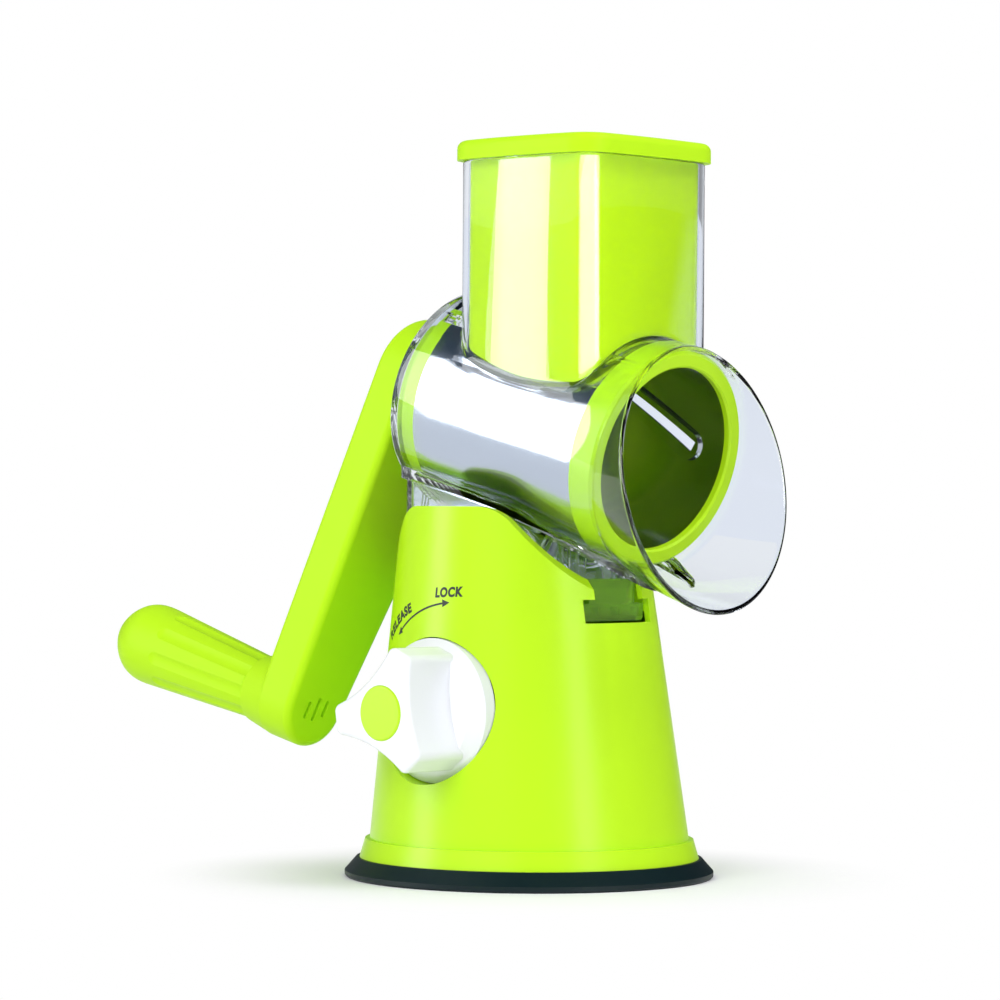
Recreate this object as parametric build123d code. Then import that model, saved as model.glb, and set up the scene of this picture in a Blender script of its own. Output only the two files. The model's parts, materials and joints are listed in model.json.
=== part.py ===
from build123d import *
from math import atan2, cos, degrees, hypot, radians, sin, tan
import os

# ---------------------------------------------------------------------------
# Driving dimensions: millimetres and degrees.
# The origin is the centre of the foot's underside, +Z is up, the shredded food
# leaves towards +X, the crank is at the -X end and the lock knob on the -Y side.
# ---------------------------------------------------------------------------

# general
plastic_wall = 2.4
running_gap = 0.4
seat_gap = 0.05

# rubber foot
foot_rim_radius = 70.3
foot_rim_height = 2.4
foot_shoulder_radius = 66.0
foot_height = 7.3
foot_lip_height = 2.5
foot_tread_width = 12.0

# base housing: a leaning cone on a short band
band_bottom_radius = 64.7
band_top_radius = 62.6
band_height = 7.2
cone_radius = 60.85
cone_taper = 0.1195
cone_lean = 0.0395
ear_height = 140.8
ear_rear_x = -26.0
ear_front_x = 18.1
ear_corner = 16.0
ear_slope = 50.2
edge_corner = 4.0
rear_edge_height = 113.0
front_edge_height = 108.6
deck_height = 104.0
screw_boss_radius = 4.0
screw_boss_circle = 47.5
screw_boss_count = 3
screw_boss_top = 46.0

# latch slot and latch tab
latch_tab_width = 36.0
latch_neck_width = 26.0
latch_tab_height = 6.6
latch_tab_drop = 5.8
latch_neck_rise = 10.0
latch_root_height = 3.0
latch_root_gap = 0.3
latch_thickness = 2.4
latch_depth = 6.0
latch_gap = 0.6
latch_x = 38.4
latch_travel = 6.0
latch_ledge_height = 2.0
latch_rib = 1.4
latch_slot_rise = 2.4

# mechanism frame and suction parts
frame_plate = 3.0
post_width = 16.0
post_thickness = 6.0
post_spacing = 36.0
cam_axis_height = 64.7
shaft_radius = 5.0
cam_radius = 9.0
cam_width = 9.0
cam_throw = 2.83
rod_radius = 4.0
rod_guide_radius = 7.5
rod_guide_height = 10.0
yoke_wall = 4.0
yoke_width = 6.0
pull_plate_radius = 22.0
pull_plate_thickness = 3.0
pull_plate_bottom = 8.0
membrane_thickness = 2.0
membrane_drop = 3.0

# lock knob
knob_disc_radius = 27.0
knob_disc_thickness = 5.0
knob_disc_y = -52.0
knob_dome_radius = 22.5
knob_dome_rise = 5.0
knob_front_y = -79.8
knob_lobe_reach = 24.4
knob_lobe_half_width = 5.4
knob_lobe_corner = 3.0
knob_waist = 13.8
knob_turn = 8.5
knob_cap_radius = 10.25
knob_cap_thickness = 2.4
knob_edge = 2.2
knob_socket_depth = 9.0

# drum and its axis, which dips towards the mouth
axis_rise = 34.65
axis_tilt = 13.94
drum_radius = 39.0
drum_sheet = 0.6
drum_rear = -24.4
drum_front = 58.0
slot_count = 3
slot_length = 50.0
slit_width = 4.2
slit_offset = 0.9
slit_length = 46.0
slot_slant = 21.0
slot_dish = 2.0
slot_station = 28.5
slot_turn = 167.6
dish_width = 9.6
collar_radius = 40.9
collar_length = 12.0
collar_opening = 34.7
hub_ring_length = 6.1
hub_boss_radius = 10.0
square_side = 7.0

# clear drum housing
barrel_rear = -35.4
barrel_rear_radius = 41.3
barrel_front_radius = 43.3
barrel_front = 71.0
clear_wall = 1.9
bell_rim_radius = 49.4
bell_length = 40.0
bell_cut_station = 89.4
bell_cut_angle = 22.5
bell_cut_rise = -2.6
sleeve_radius = 13.0
sleeve_length = 8.0
bush_radius = 8.0
bush_flange_radius = 10.5
bush_flange = 1.2
hopper_x = 25.6
hopper_half_length = 33.6
hopper_half_width = 35.0
hopper_end_bulge = 1.9
hopper_side_bulge = 3.0
hopper_corner = 10.5
hopper_rise = 95.3
hopper_wall = 2.2
pedestal_rear_x = -39.5
pedestal_front_x = 37.5
pedestal_half_width = 29.0
pedestal_front_half_width = 16.0
shelf_thickness = 4.2
shelf_overhang = 1.6
shelf_front_x = 70.0
shelf_front_half_width = 12.0
shelf_bend_x = 8.0
shelf_slope = 25.0
shelf_drop = 31.55

# pusher
pusher_gap = 0.7
pusher_wall = 2.2
pusher_drum_gap = 1.2
cap_height = 7.4
cap_overhang = 2.1
cap_edge = 3.0
cap_spigot = 5.0

# crank
arm_front_station = -45.2
arm_thickness = 19.0
arm_length = 134.7
arm_hang = 17.5
arm_hub_radius = 23.8
arm_tip_radius = 15.3
arm_edge = 3.0
arm_wall = 2.2
arm_boss_radius = 9.5
shaft_head_radius = 8.0
shaft_head = 3.0
grip_boss_length = 9.8
grip_boss_radius = 13.6
vent_length = 9.6
vent_end_length = 6.8
vent_width = 1.8
vent_pitch = 4.8
vent_slant = -17.0
vent_depth = 1.4

# grip
grip_root_radius = 12.6
grip_swell_radius = 16.0
grip_length = 80.5
grip_swell_station = 60.0
grip_flute_count = 9
grip_flute_depth = 0.8
grip_flute_radius = 6.5
grip_flute_end = 48.5
grip_flute_turn = -14.0
grip_pin_radius = 4.0
grip_pin_length = 64.0
pin_head_radius = 6.5
pin_bead = 0.8
pin_bead_length = 2.0

# screws
screw_radius = 1.5
screw_head_radius = 3.0
screw_head_height = 2.2
screw_bite = 14.0

# ---------------------------------------------------------------------------
# Places that follow from the dimensions
# ---------------------------------------------------------------------------
band_top = foot_height + band_height
axis_height = ear_height + axis_rise
hopper_top = axis_height + hopper_rise
shelf_height = axis_height - shelf_drop
latch_tab_bottom = deck_height - latch_tab_drop
latch_slot_top = deck_height + latch_slot_rise
latch_neck_top = deck_height + latch_neck_rise
latch_ledge_top = latch_tab_bottom + latch_ledge_height
latch_root = (latch_neck_top - latch_root_height, latch_neck_top)
drum_plane = Plane(
    origin=(0, 0, axis_height),
    x_dir=(sin(radians(axis_tilt)), 0, cos(radians(axis_tilt))),
    z_dir=(cos(radians(axis_tilt)), 0, -sin(radians(axis_tilt))),
)
big = 400.0


def along_drum(shape):
    """Places a shape drawn about Z so that Z is the drum axis and X is up."""
    return drum_plane.location * shape


def turned(points):
    """Solid of revolution about Z from (radius, height) corners."""
    outline = Polyline(*points, close=True)
    return revolve(Plane.XZ * make_face(outline), Axis.Z)


def ring(outer, inner, low, high):
    """Tube about Z between two heights."""
    return turned([(inner, low), (outer, low), (outer, high), (inner, high)])


def rod(radius, low, high):
    """Cylinder about Z between two heights."""
    return Pos(0, 0, low) * Cylinder(radius, high - low, align=(Align.CENTER, Align.CENTER, Align.MIN))


def block(x, y, z):
    """Box from its low and high limits in each direction."""
    low = [min(x), min(y), min(z)]
    size = [max(x) - low[0], max(y) - low[1], max(z) - low[2]]
    return Pos(*low) * Box(*size, align=(Align.MIN, Align.MIN, Align.MIN))


def rod_along_y(radius, low, high, x, z):
    """Cylinder along Y between two places."""
    return Pos(x, high, z) * Rot(90, 0, 0) * rod(radius, 0, high - low)


def knob_rod(radius, low, high):
    """Cylinder on the knob's axis between two places in Y."""
    return rod_along_y(radius, low, high, knob_x, cam_axis_height)


# ---------------------------------------------------------------------------
# Base: housing, foot, membrane, mechanism frame
# ---------------------------------------------------------------------------
def cone_radius_at(z):
    return cone_radius - cone_taper * (z - band_top)


def cone_centre_at(z):
    return -cone_lean * (z - band_top)


def leaning_cone(inset, low, high):
    """Solid inside the base cone, inset from its skin, between two heights."""
    ends = [Pos(cone_centre_at(z), 0, z) * Circle(cone_radius_at(z) - inset) for z in (low, high)]
    return loft(ends)


knob_x = cone_centre_at(cam_axis_height)
plate_bottom = band_top + 2.5
plate_top = plate_bottom + frame_plate
band_bore = cone_radius - plastic_wall
boss_angles = [90 + 360 / screw_boss_count * k for k in range(screw_boss_count)]


def ear_region():
    """Everything below the top edge of the base: two ears with rounded corners, low at both ends."""
    run = 1 / tan(radians(ear_slope))
    edge = FilletPolyline(
        (big, front_edge_height),
        (ear_front_x + run * (ear_height - front_edge_height), front_edge_height),
        (ear_front_x, ear_height),
        (ear_rear_x, ear_height),
        (ear_rear_x - run * (ear_height - rear_edge_height), rear_edge_height),
        (-big, rear_edge_height),
        radius=[edge_corner, ear_corner, ear_corner, edge_corner],
    )
    rest = Polyline((-big, rear_edge_height), (-big, -1), (big, -1), (big, front_edge_height))
    return extrude(Plane.XZ * make_face([edge, rest]), amount=big / 2, both=True)


def base_housing():
    outer = leaning_cone(0, foot_height, ear_height + 5)
    outer += turned([
        (0, foot_height),
        (band_bottom_radius, foot_height),
        (band_top_radius, band_top),
        (0, band_top),
    ])
    inside = leaning_cone(plastic_wall, band_top, ear_height + 6)
    inside += rod(band_bore, foot_height - 1, band_top + 1)
    deck = block((-big, big), (-big, big), (deck_height - plastic_wall, deck_height))
    deck -= block(
        (latch_x - latch_depth - latch_travel, big),
        (-latch_tab_width / 2 - latch_gap, latch_tab_width / 2 + latch_gap),
        (0, big),
    )
    inside_top = leaning_cone(plastic_wall / 2, band_top, ear_height + 6)
    shell = (outer - inside) + (inside_top & deck)

    recess = knob_disc_radius + running_gap
    sleeve_back = knob_disc_y + knob_disc_thickness + 2
    shell += knob_rod(recess + plastic_wall, -big / 4, sleeve_back) & outer
    shell -= knob_rod(recess, -big / 4, sleeve_back + 0.1)

    for angle in boss_angles:
        boss = Pos(screw_boss_circle, 0, 0) * rod(screw_boss_radius, plate_top, screw_boss_top)
        rib = block(
            (screw_boss_circle, big / 4),
            (-plastic_wall / 2, plastic_wall / 2),
            (plate_top + 5, screw_boss_top),
        )
        pilot = Pos(screw_boss_circle, 0, 0) * rod(screw_radius + seat_gap, plate_top, screw_boss_top - 8)
        shell += Rot(0, 0, angle) * boss + ((Rot(0, 0, angle) * rib) & outer)
        shell -= Rot(0, 0, angle) * pilot

    shell &= ear_region()
    half_tab = latch_tab_width / 2 + latch_gap
    half_neck = latch_neck_width / 2 + latch_gap
    slot_rear = latch_x - latch_depth
    shell -= block((slot_rear, big), (-half_tab, half_tab), (latch_tab_bottom - latch_gap, latch_slot_top))
    shell -= block((slot_rear, big), (-half_neck, half_neck), (latch_slot_top, big))
    return shell


foot_collar_top = plate_top + foot_lip_height
foot_collar_reach = cone_radius_at(foot_collar_top) + cone_centre_at(foot_collar_top)
foot_collar_radius = foot_collar_reach - plastic_wall - seat_gap
groove_radius = foot_collar_radius - 1.7
lip_radius = groove_radius - 2.4
foot_inner_radius = foot_rim_radius - 0.7 - foot_tread_width


def rubber_foot():
    rim = foot_rim_radius
    return turned([
        (foot_inner_radius, 0),
        (rim - 0.7, 0),
        (rim, 0.8),
        (rim, foot_rim_height),
        (foot_shoulder_radius, foot_height),
        (foot_collar_radius, foot_height),
        (foot_collar_radius, foot_collar_top),
        (lip_radius, foot_collar_top),
        (lip_radius, plate_top),
        (groove_radius, plate_top),
        (groove_radius, plate_bottom),
        (lip_radius, plate_bottom),
        (lip_radius, foot_height - 1),
        (foot_inner_radius, 2.0),
    ])


def suction_membrane():
    low = pull_plate_bottom - membrane_thickness
    outer = lip_radius
    edge_low = pull_plate_bottom - membrane_drop - membrane_thickness
    return turned([
        (0, low),
        (pull_plate_radius, low),
        (outer, edge_low),
        (outer, edge_low + membrane_thickness),
        (pull_plate_radius, pull_plate_bottom),
        (0, pull_plate_bottom),
    ])


def mechanism_frame():
    frame = rod(groove_radius - seat_gap, plate_bottom, plate_top)
    frame += rod(rod_guide_radius, plate_bottom, plate_top + rod_guide_height)
    for side in (-1, 1):
        middle = side * post_spacing / 2
        limits = (middle - post_thickness / 2, middle + post_thickness / 2)
        width = (knob_x - post_width / 2, knob_x + post_width / 2)
        post = block(width, limits, (plate_bottom, cam_axis_height))
        frame += post + knob_rod(post_width / 2, *limits)
        frame -= knob_rod(shaft_radius + seat_gap, limits[0] - 1, limits[1] + 1)
    frame -= rod(rod_radius + seat_gap, plate_bottom - 1, plate_top + rod_guide_height + 1)
    for angle in boss_angles:
        hole = Pos(screw_boss_circle, 0, 0) * rod(screw_radius + seat_gap, plate_bottom - 1, plate_top + 1)
        frame -= Rot(0, 0, angle) * hole
    return frame


def screw(length):
    """Pan-head screw about Z, head below zero, shank up to its length."""
    head = rod(screw_head_radius, -screw_head_height, 0)
    head = fillet(head.edges().group_by(Axis.Z)[0], screw_head_height * 0.45)
    cross = block((-1.6, 1.6), (-0.35, 0.35), (-screw_head_height - 1, -screw_head_height + 1))
    return head + rod(screw_radius, 0, length) - cross - Rot(0, 0, 90) * cross


def base_screws():
    one = Pos(screw_boss_circle, 0, plate_bottom) * screw(frame_plate + screw_bite)
    return [Rot(0, 0, angle) * one for angle in boss_angles]


# ---------------------------------------------------------------------------
# Lock knob, shaft and cam; pull rod and plate
# ---------------------------------------------------------------------------
cam_rest_x = -cam_throw * cos(radians(45))
cam_rest_z = cam_axis_height - cam_throw * sin(radians(45))
shaft_front_y = knob_front_y + knob_socket_depth
shaft_back_y = post_spacing / 2 + post_thickness / 2 + 2.0


def star_outline():
    """Three blunt lobes with rounded corners, joined by slightly hollow flanks."""

    def lobe_point(reach, side, angle):
        c, s = cos(radians(angle)), sin(radians(angle))
        return Vector(reach * c - side * s, reach * s + side * c)

    edges = []
    for angle in (60, 180, 300):
        end = lobe_point(knob_lobe_reach, knob_lobe_half_width, angle)
        next_start = lobe_point(knob_lobe_reach, -knob_lobe_half_width, angle + 120)
        edges.append(Line(lobe_point(knob_lobe_reach, -knob_lobe_half_width, angle), end))
        edges.append(ThreePointArc(end, lobe_point(knob_waist, 0, angle + 60), next_start))
    face = make_face(edges)
    return fillet(face.vertices(), knob_lobe_corner)


def lock_knob():
    depth = knob_disc_y - knob_front_y
    star = extrude(Plane.XZ * star_outline(), amount=depth)
    star = fillet(star.edges().group_by(Axis.Y)[0], knob_edge)
    star = Pos(knob_x, knob_disc_y, cam_axis_height) * (Rot(0, -knob_turn, 0) * star)
    disc = turned([
        (0, -knob_disc_y - knob_disc_thickness),
        (knob_disc_radius, -knob_disc_y - knob_disc_thickness),
        (knob_disc_radius, -knob_disc_y),
        (knob_dome_radius, -knob_disc_y + knob_dome_rise),
        (0, -knob_disc_y + knob_dome_rise),
    ])
    knob = star + Pos(knob_x, 0, cam_axis_height) * (Rot(90, 0, 0) * disc)
    knob -= knob_rod(shaft_radius + seat_gap, shaft_front_y, 0)
    cap_back = knob_front_y + knob_cap_thickness
    knob -= knob_rod(knob_cap_radius + seat_gap, knob_front_y - 1, cap_back)
    knob -= knob_rod(screw_head_radius + 0.5, cap_back - 1, cap_back + 4)
    knob -= knob_rod(screw_radius + seat_gap, cap_back, shaft_front_y + 1)
    return knob


def knob_cap():
    disc = rod(knob_cap_radius, 0, knob_cap_thickness + 0.6)
    disc = fillet(disc.edges().group_by(Axis.Z)[-1], 0.8)
    return Pos(knob_x, knob_front_y + knob_cap_thickness, cam_axis_height) * (Rot(90, 0, 0) * disc)


def knob_screw():
    seat = knob_front_y + knob_cap_thickness + 4
    return Pos(knob_x, seat, cam_axis_height) * (Rot(-90, 0, 0) * screw(shaft_front_y - seat + 10))


def cam_shaft():
    shaft = knob_rod(shaft_radius, shaft_front_y, shaft_back_y)
    return shaft - knob_rod(screw_radius + seat_gap, shaft_front_y - 1, shaft_front_y + 11)


def lift_cam():
    cam = rod_along_y(cam_radius, -cam_width / 2, cam_width / 2, x=knob_x + cam_rest_x, z=cam_rest_z)
    return cam - knob_rod(shaft_radius + seat_gap, -cam_width, cam_width)


def pull_rod():
    middle = knob_x + cam_rest_x - (cam_throw + cam_rest_x) / 2
    half_x = cam_radius + 2 * running_gap
    half_z = cam_radius + running_gap
    low = cam_rest_z - half_z - yoke_wall
    yoke = block(
        (middle - half_x - yoke_wall, middle + half_x + yoke_wall),
        (-yoke_width / 2, yoke_width / 2),
        (low, cam_rest_z + half_z + yoke_wall),
    )
    yoke -= block(
        (middle - half_x, middle + half_x),
        (-yoke_width, yoke_width),
        (cam_rest_z - half_z, cam_rest_z + half_z),
    )
    return yoke + rod(rod_radius, pull_plate_bottom + pull_plate_thickness, low + 1)


def pull_plate():
    return rod(pull_plate_radius, pull_plate_bottom, pull_plate_bottom + pull_plate_thickness)


# ---------------------------------------------------------------------------
# Slicing drum
# ---------------------------------------------------------------------------
drum_bore = drum_radius - drum_sheet
hub_rear = drum_rear - hub_ring_length


def oblong(length, width, low, high):
    """Round-ended bar standing radially on the drum, slanted to its axis, at the top of the drum."""
    face = SlotOverall(length, width)
    bar = extrude(face, amount=high - low)
    upright = Plane(origin=(low, 0, 0), x_dir=(0, 0, 1), z_dir=(1, 0, 0))
    return upright.location * (Rot(0, 0, slot_slant) * bar)


def drum_shell():
    shell = ring(drum_radius, drum_bore, drum_rear, drum_front + 8)
    floor = drum_radius - slot_dish
    limits = (drum_radius / 2, drum_radius + 1)
    hole = oblong(slot_length, dish_width, *limits)
    skin = oblong(slot_length + 2 * drum_sheet, dish_width + 2 * drum_sheet, *limits)
    tub = ring(drum_radius, floor, -big, big) & (skin - hole)
    tub += ring(floor + drum_sheet, floor, -big, big) & skin
    slit = Rot(slot_slant, 0, 0) * block(
        limits,
        (slit_offset - slit_width / 2, slit_offset + slit_width / 2),
        (-slit_length / 2, slit_length / 2),
    )
    for k in range(slot_count):
        place = Rot(0, 0, 90 - slot_turn - 360 / slot_count * k) * Pos(0, 0, slot_station)
        shell = shell - place * hole + place * tub - place * slit
    return along_drum(shell)


def front_collar():
    end = drum_front + collar_length
    seat = drum_radius + seat_gap
    return along_drum(turned([
        (seat, drum_front),
        (collar_radius - 0.8, drum_front),
        (collar_radius, drum_front + 0.8),
        (collar_radius, end - 1.2),
        (collar_radius - 1.2, end),
        (collar_opening + 0.8, end),
        (collar_opening, end - 0.8),
        (collar_opening, end - 3.0),
        (drum_bore - 1.2, drum_front + 8),
        (seat, drum_front + 8),
    ]))


def rear_hub():
    spigot = drum_bore - seat_gap
    hub = turned([
        (0, hub_rear),
        (drum_radius, hub_rear),
        (drum_radius, drum_rear),
        (spigot, drum_rear),
        (spigot, drum_rear + 4),
        (spigot - plastic_wall, drum_rear + 4),
        (spigot - plastic_wall, hub_rear + 3),
        (hub_boss_radius, hub_rear + 3),
        (hub_boss_radius, hub_rear + 16),
        (0, hub_rear + 16),
    ])
    side = square_side + 2 * seat_gap
    hub -= Pos(0, 0, hub_rear - 1) * Box(side, side, 15, align=(Align.CENTER, Align.CENTER, Align.MIN))
    return along_drum(hub)


# ---------------------------------------------------------------------------
# Clear housing: barrel, bell mouth, hopper, pedestal
# ---------------------------------------------------------------------------
def barrel_radius_at(station):
    share = (station - barrel_rear) / (barrel_front - barrel_rear)
    return barrel_rear_radius + share * (barrel_front_radius - barrel_rear_radius)


def tunnel(inset):
    """Barrel and bell as one solid about the drum axis, inset from the outer skin."""
    end = barrel_front + bell_length
    rear = barrel_rear + (plastic_wall if inset else 0)
    middle = (barrel_front + end) / 2
    bulge = (barrel_front_radius + bell_rim_radius) / 2 + 1.4
    flare = Spline(
        (barrel_front_radius - inset, barrel_front),
        (bulge - inset, middle),
        (bell_rim_radius - inset, end),
    )
    outline = [
        Polyline(
            (0, end),
            (0, rear),
            (barrel_radius_at(rear) - inset, rear),
            (barrel_front_radius - inset, barrel_front),
        ),
        flare,
        Line((bell_rim_radius - inset, end), (0, end)),
    ]
    return along_drum(revolve(Plane.XZ * make_face(outline), Axis.Z))


def hopper_outline(inset):
    """Rounded rectangle with slightly crowned sides, about the hopper's own centre."""
    long, wide = hopper_half_length - inset, hopper_half_width - inset
    face = make_face([
        ThreePointArc((long, -wide), (long + hopper_end_bulge, 0), (long, wide)),
        ThreePointArc((long, wide), (0, wide + hopper_side_bulge), (-long, wide)),
        ThreePointArc((-long, wide), (-long - hopper_end_bulge, 0), (-long, -wide)),
        ThreePointArc((-long, -wide), (0, -wide - hopper_side_bulge), (long, -wide)),
    ])
    return fillet(face.vertices(), hopper_corner - inset)


def hopper_bar(inset, low, high):
    """Upright bar of the hopper's outline, inset all round."""
    return Pos(hopper_x, 0, low) * extrude(hopper_outline(inset), amount=high - low)


def above_drum_axis():
    return along_drum(Pos(big / 2, 0, 0) * Box(big, big, big))


def pedestal_outline(inset, front_x, front_half):
    rear = pedestal_rear_x + inset
    half = pedestal_half_width - inset
    return make_face(FilletPolyline(
        (rear, -half),
        (12.0, -half),
        (front_x - inset, -front_half + inset),
        (front_x - inset, front_half - inset),
        (12.0, half),
        (rear, half),
        close=True,
        radius=[2.5, 18.0, 6.0, 6.0, 18.0, 2.5],
    ))


def shelf_slab(low, high):
    """Slab that follows the shelf, bent downwards towards the mouth, between two offsets from its top."""
    back_x = pedestal_rear_x - shelf_overhang
    front_x = shelf_front_x + shelf_overhang
    rise = tan(radians(axis_tilt)) * (shelf_bend_x - back_x)
    drop = tan(radians(shelf_slope)) * (front_x - shelf_bend_x)
    line = [(back_x, shelf_height + rise), (shelf_bend_x, shelf_height), (front_x, shelf_height - drop)]
    top = [(x, z + high) for x, z in line]
    bottom = [(x, z + low) for x, z in reversed(line)]
    return extrude(Plane.XZ * make_face(Polyline(*top, *bottom, close=True)), amount=big / 4, both=True)


def shelf():
    """Sloping flange round the top of the pedestal."""
    outline = pedestal_outline(-shelf_overhang, shelf_front_x, shelf_front_half_width)
    return shelf_slab(-shelf_thickness, 0) & extrude(outline, amount=big)


def below_drum_axis():
    return along_drum(Pos(-big / 2, 0, barrel_rear + big / 2) * Box(big, big, big))


def mouth_cut():
    """Everything beyond the slanting plane that ends the bell."""
    normal = Vector(sin(radians(bell_cut_angle)), 0, cos(radians(bell_cut_angle)))
    plane = Plane(origin=(bell_cut_rise, 0, bell_cut_station), z_dir=normal)
    return along_drum(plane.location * block((-big, big), (-big, big), (0, big)))


def drum_barrel():
    """Barrel, bell mouth and the sleeve of the drive shaft."""
    barrel = tunnel(0) + along_drum(rod(sleeve_radius, barrel_rear - sleeve_length, barrel_rear + 1))
    barrel -= tunnel(clear_wall)
    barrel -= hopper_bar(hopper_wall, 0, hopper_top) & above_drum_axis()
    bore = bush_radius + seat_gap
    barrel -= along_drum(rod(bore, barrel_rear - sleeve_length - 1, barrel_rear + plastic_wall + 1))
    return barrel - mouth_cut()


def feed_hopper():
    hopper = hopper_bar(0, 0, hopper_top) & above_drum_axis()
    return hopper - hopper_bar(hopper_wall, 0, hopper_top + 1) - tunnel(0)


def barrel_pedestal():
    """Hollow box under the barrel, with its shelf and the root of the latch."""
    size = (pedestal_front_x, pedestal_front_half_width)
    pedestal = extrude(pedestal_outline(0, *size), amount=axis_height)
    pedestal -= extrude(pedestal_outline(clear_wall, *size), amount=axis_height)
    half_neck = latch_neck_width / 2
    root_depth = (pedestal_front_x - clear_wall, latch_x - latch_root_gap)
    pedestal += block(root_depth, (-half_neck, half_neck), latch_root)
    pedestal -= block((-big, big), (-big, big), (-1, deck_height))
    window_depth = (pedestal_front_x - latch_travel, big)
    tab_top = latch_tab_bottom + latch_tab_height
    for half, height in ((half_neck, latch_root[0] - latch_gap), (latch_tab_width / 2, tab_top + latch_gap)):
        pedestal -= block(window_depth, (-half - latch_gap, half + latch_gap), (0, height))
    return ((pedestal + shelf()) & below_drum_axis()) - tunnel(0)


def axle_bush():
    low = barrel_rear - sleeve_length - bush_flange
    body = ring(bush_radius, shaft_radius + seat_gap, low, barrel_rear + plastic_wall)
    return along_drum(body + ring(bush_flange_radius, shaft_radius + seat_gap, low, low + bush_flange))


def latch_tab():
    half_tab = latch_tab_width / 2
    half_neck = latch_neck_width / 2
    tab_top = latch_tab_bottom + latch_tab_height
    front = latch_x + latch_thickness
    neck = block((latch_x, front), (-half_neck, half_neck), (latch_tab_bottom, latch_neck_top))
    tab = block((latch_x, front), (-half_tab, half_tab), (latch_tab_bottom, tab_top))
    tab += block((front - latch_depth, front), (-half_tab, half_tab), (latch_tab_bottom, latch_ledge_top))
    tab = chamfer(tab.edges().filter_by(Axis.X).group_by(Axis.Z)[0], latch_rib)
    rib_top = deck_height - latch_gap
    for share in (-1, -1 / 3, 1 / 3, 1):
        y = share * (half_tab - latch_rib)
        limits = (y - latch_rib / 2, y + latch_rib / 2)
        tab += block((front - latch_depth, front), limits, (latch_ledge_top - latch_rib, rib_top))
    clear_of_housing = shelf_slab(-shelf_thickness - latch_gap, big) + tunnel(-latch_gap)
    return tab + (neck - clear_of_housing)


# ---------------------------------------------------------------------------
# Pusher
# ---------------------------------------------------------------------------
def pusher_body():
    inset = hopper_wall + pusher_gap
    clear_of_drum = along_drum(rod(drum_radius + pusher_drum_gap, -big, big))
    floor = along_drum(rod(drum_radius + pusher_drum_gap + pusher_wall, -big, big))
    body = (hopper_bar(inset, 0, hopper_top) & above_drum_axis()) - clear_of_drum
    hollow = (hopper_bar(inset + pusher_wall, 0, hopper_top + 1) & above_drum_axis()) - floor
    body -= hollow
    return body


def pusher_cap():
    plate = hopper_bar(-cap_overhang, hopper_top, hopper_top + cap_height)
    plate = fillet(plate.edges().group_by(Axis.Z)[-1], cap_edge)
    inset = hopper_wall + pusher_gap + pusher_wall + seat_gap
    spigot = hopper_bar(inset, hopper_top - cap_spigot, hopper_top)
    spigot -= hopper_bar(inset + plastic_wall, hopper_top - cap_spigot - 1, hopper_top)
    return plate + spigot


# ---------------------------------------------------------------------------
# Crank and grip
# ---------------------------------------------------------------------------
arm_back_station = arm_front_station - arm_thickness
arm_seam_station = (arm_front_station + arm_back_station) / 2
tip_w = -arm_length * cos(radians(arm_hang))
tip_v = arm_length * sin(radians(arm_hang))


def arm_outline(inset):
    """Tapering arm about the drum axis: hub circle, tip circle and their tangents."""
    span = hypot(tip_w, tip_v)
    hub, tip = arm_hub_radius - inset, arm_tip_radius - inset
    lean = degrees(atan2(hub - tip, span))
    c, s = cos(radians(lean)), sin(radians(lean))
    side = [((hub * s, sign * hub * c), (span + tip * s, sign * tip * c)) for sign in (1, -1)]
    edges = [
        Line(*side[0]),
        ThreePointArc(side[0][1], (span + tip, 0), side[1][1]),
        Line(*side[1]),
        ThreePointArc(side[1][0], (-hub, 0), side[0][0]),
    ]
    return Rot(0, 0, degrees(atan2(tip_v, tip_w))) * make_face(edges)


def arm_shell(outer_station, bosses):
    """One half of the arm: a tray with a closed face at the outer station and an open seam."""
    low, high = sorted((outer_station, arm_seam_station))
    depth = high - low
    tray = Pos(0, 0, low) * extrude(arm_outline(0), amount=depth)
    outer_edges = tray.edges().group_by(Axis.Z)[0 if outer_station == low else -1]
    tray = fillet(outer_edges, arm_edge)
    pocket_low = low + arm_wall if outer_station == low else low - 1
    tray -= Pos(0, 0, pocket_low) * extrude(arm_outline(arm_wall), amount=depth - arm_wall + 1)
    face = extrude(arm_outline(arm_wall / 2), amount=depth)
    for x, y, radius in bosses:
        tray += (Pos(x, y, 0) * rod(radius, low, high)) & (Pos(0, 0, low) * face)
    return tray


mid_w, mid_v = tip_w * 0.55, tip_v * 0.55
arm_bosses = [(0, 0, arm_boss_radius), (tip_w, tip_v, arm_boss_radius - 1), (mid_w, mid_v, 4.5)]


def crank_arm_front():
    arm = arm_shell(arm_front_station, arm_bosses)
    arm -= rod(shaft_radius + seat_gap, arm_back_station, arm_front_station + 1)
    arm -= rod(shaft_head_radius + seat_gap, arm_seam_station - 1, arm_seam_station + shaft_head / 2)
    recess = rod(pin_head_radius + seat_gap, arm_seam_station - 1, arm_seam_station + shaft_head / 2)
    arm -= Pos(tip_w, tip_v, 0) * recess
    for k, length in ((-1, vent_end_length), (0, vent_length), (1, vent_end_length)):
        vent = extrude(SlotOverall(length, vent_width), amount=arm_wall + 1)
        place = Pos(tip_w, tip_v + k * vent_pitch, arm_front_station - vent_depth)
        arm -= place * (Rot(0, 0, vent_slant) * vent)
    pilot = rod(screw_radius + seat_gap, arm_seam_station - 1, arm_front_station - arm_wall)
    arm -= Pos(mid_w, mid_v, 0) * pilot
    return along_drum(arm)


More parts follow.
